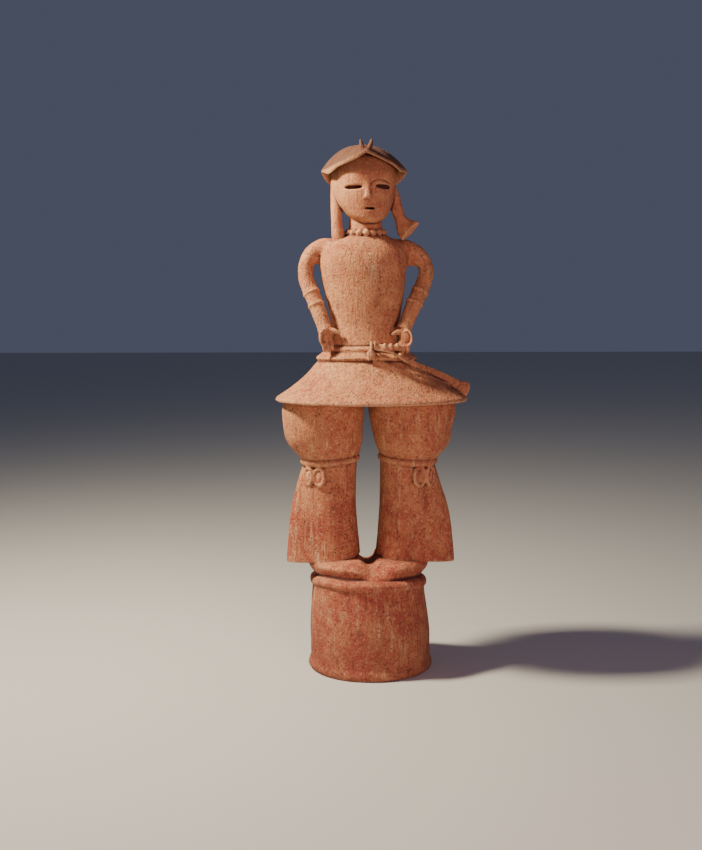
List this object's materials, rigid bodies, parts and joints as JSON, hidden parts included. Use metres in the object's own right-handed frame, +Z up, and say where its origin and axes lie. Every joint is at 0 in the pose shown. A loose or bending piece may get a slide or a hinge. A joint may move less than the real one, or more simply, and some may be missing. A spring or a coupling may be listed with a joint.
{
  "type": "haniwa figure",
  "caption": "Hollow terracotta tomb figure of a standing man on a clay cylinder, hands on hips, in a brimmed cap, flared jacket and tied trousers.",
  "frame": {"origin": "under the middle of the figure, at the height of the base's lower rim", "axes": "+Z up, -Y the way the figure faces, +X towards the figure's left hand"},
  "size_m": [0.4776, 0.3258, 1.264],
  "materials": {
    "terracotta": "unglazed low-fired reddish clay, combed with a wooden scraper, pale worn streaks and soil in the hollows"
  },
  "bodies": {
    "root": {"haniwa_figure": "terracotta"}
  },
  "joints": []
}
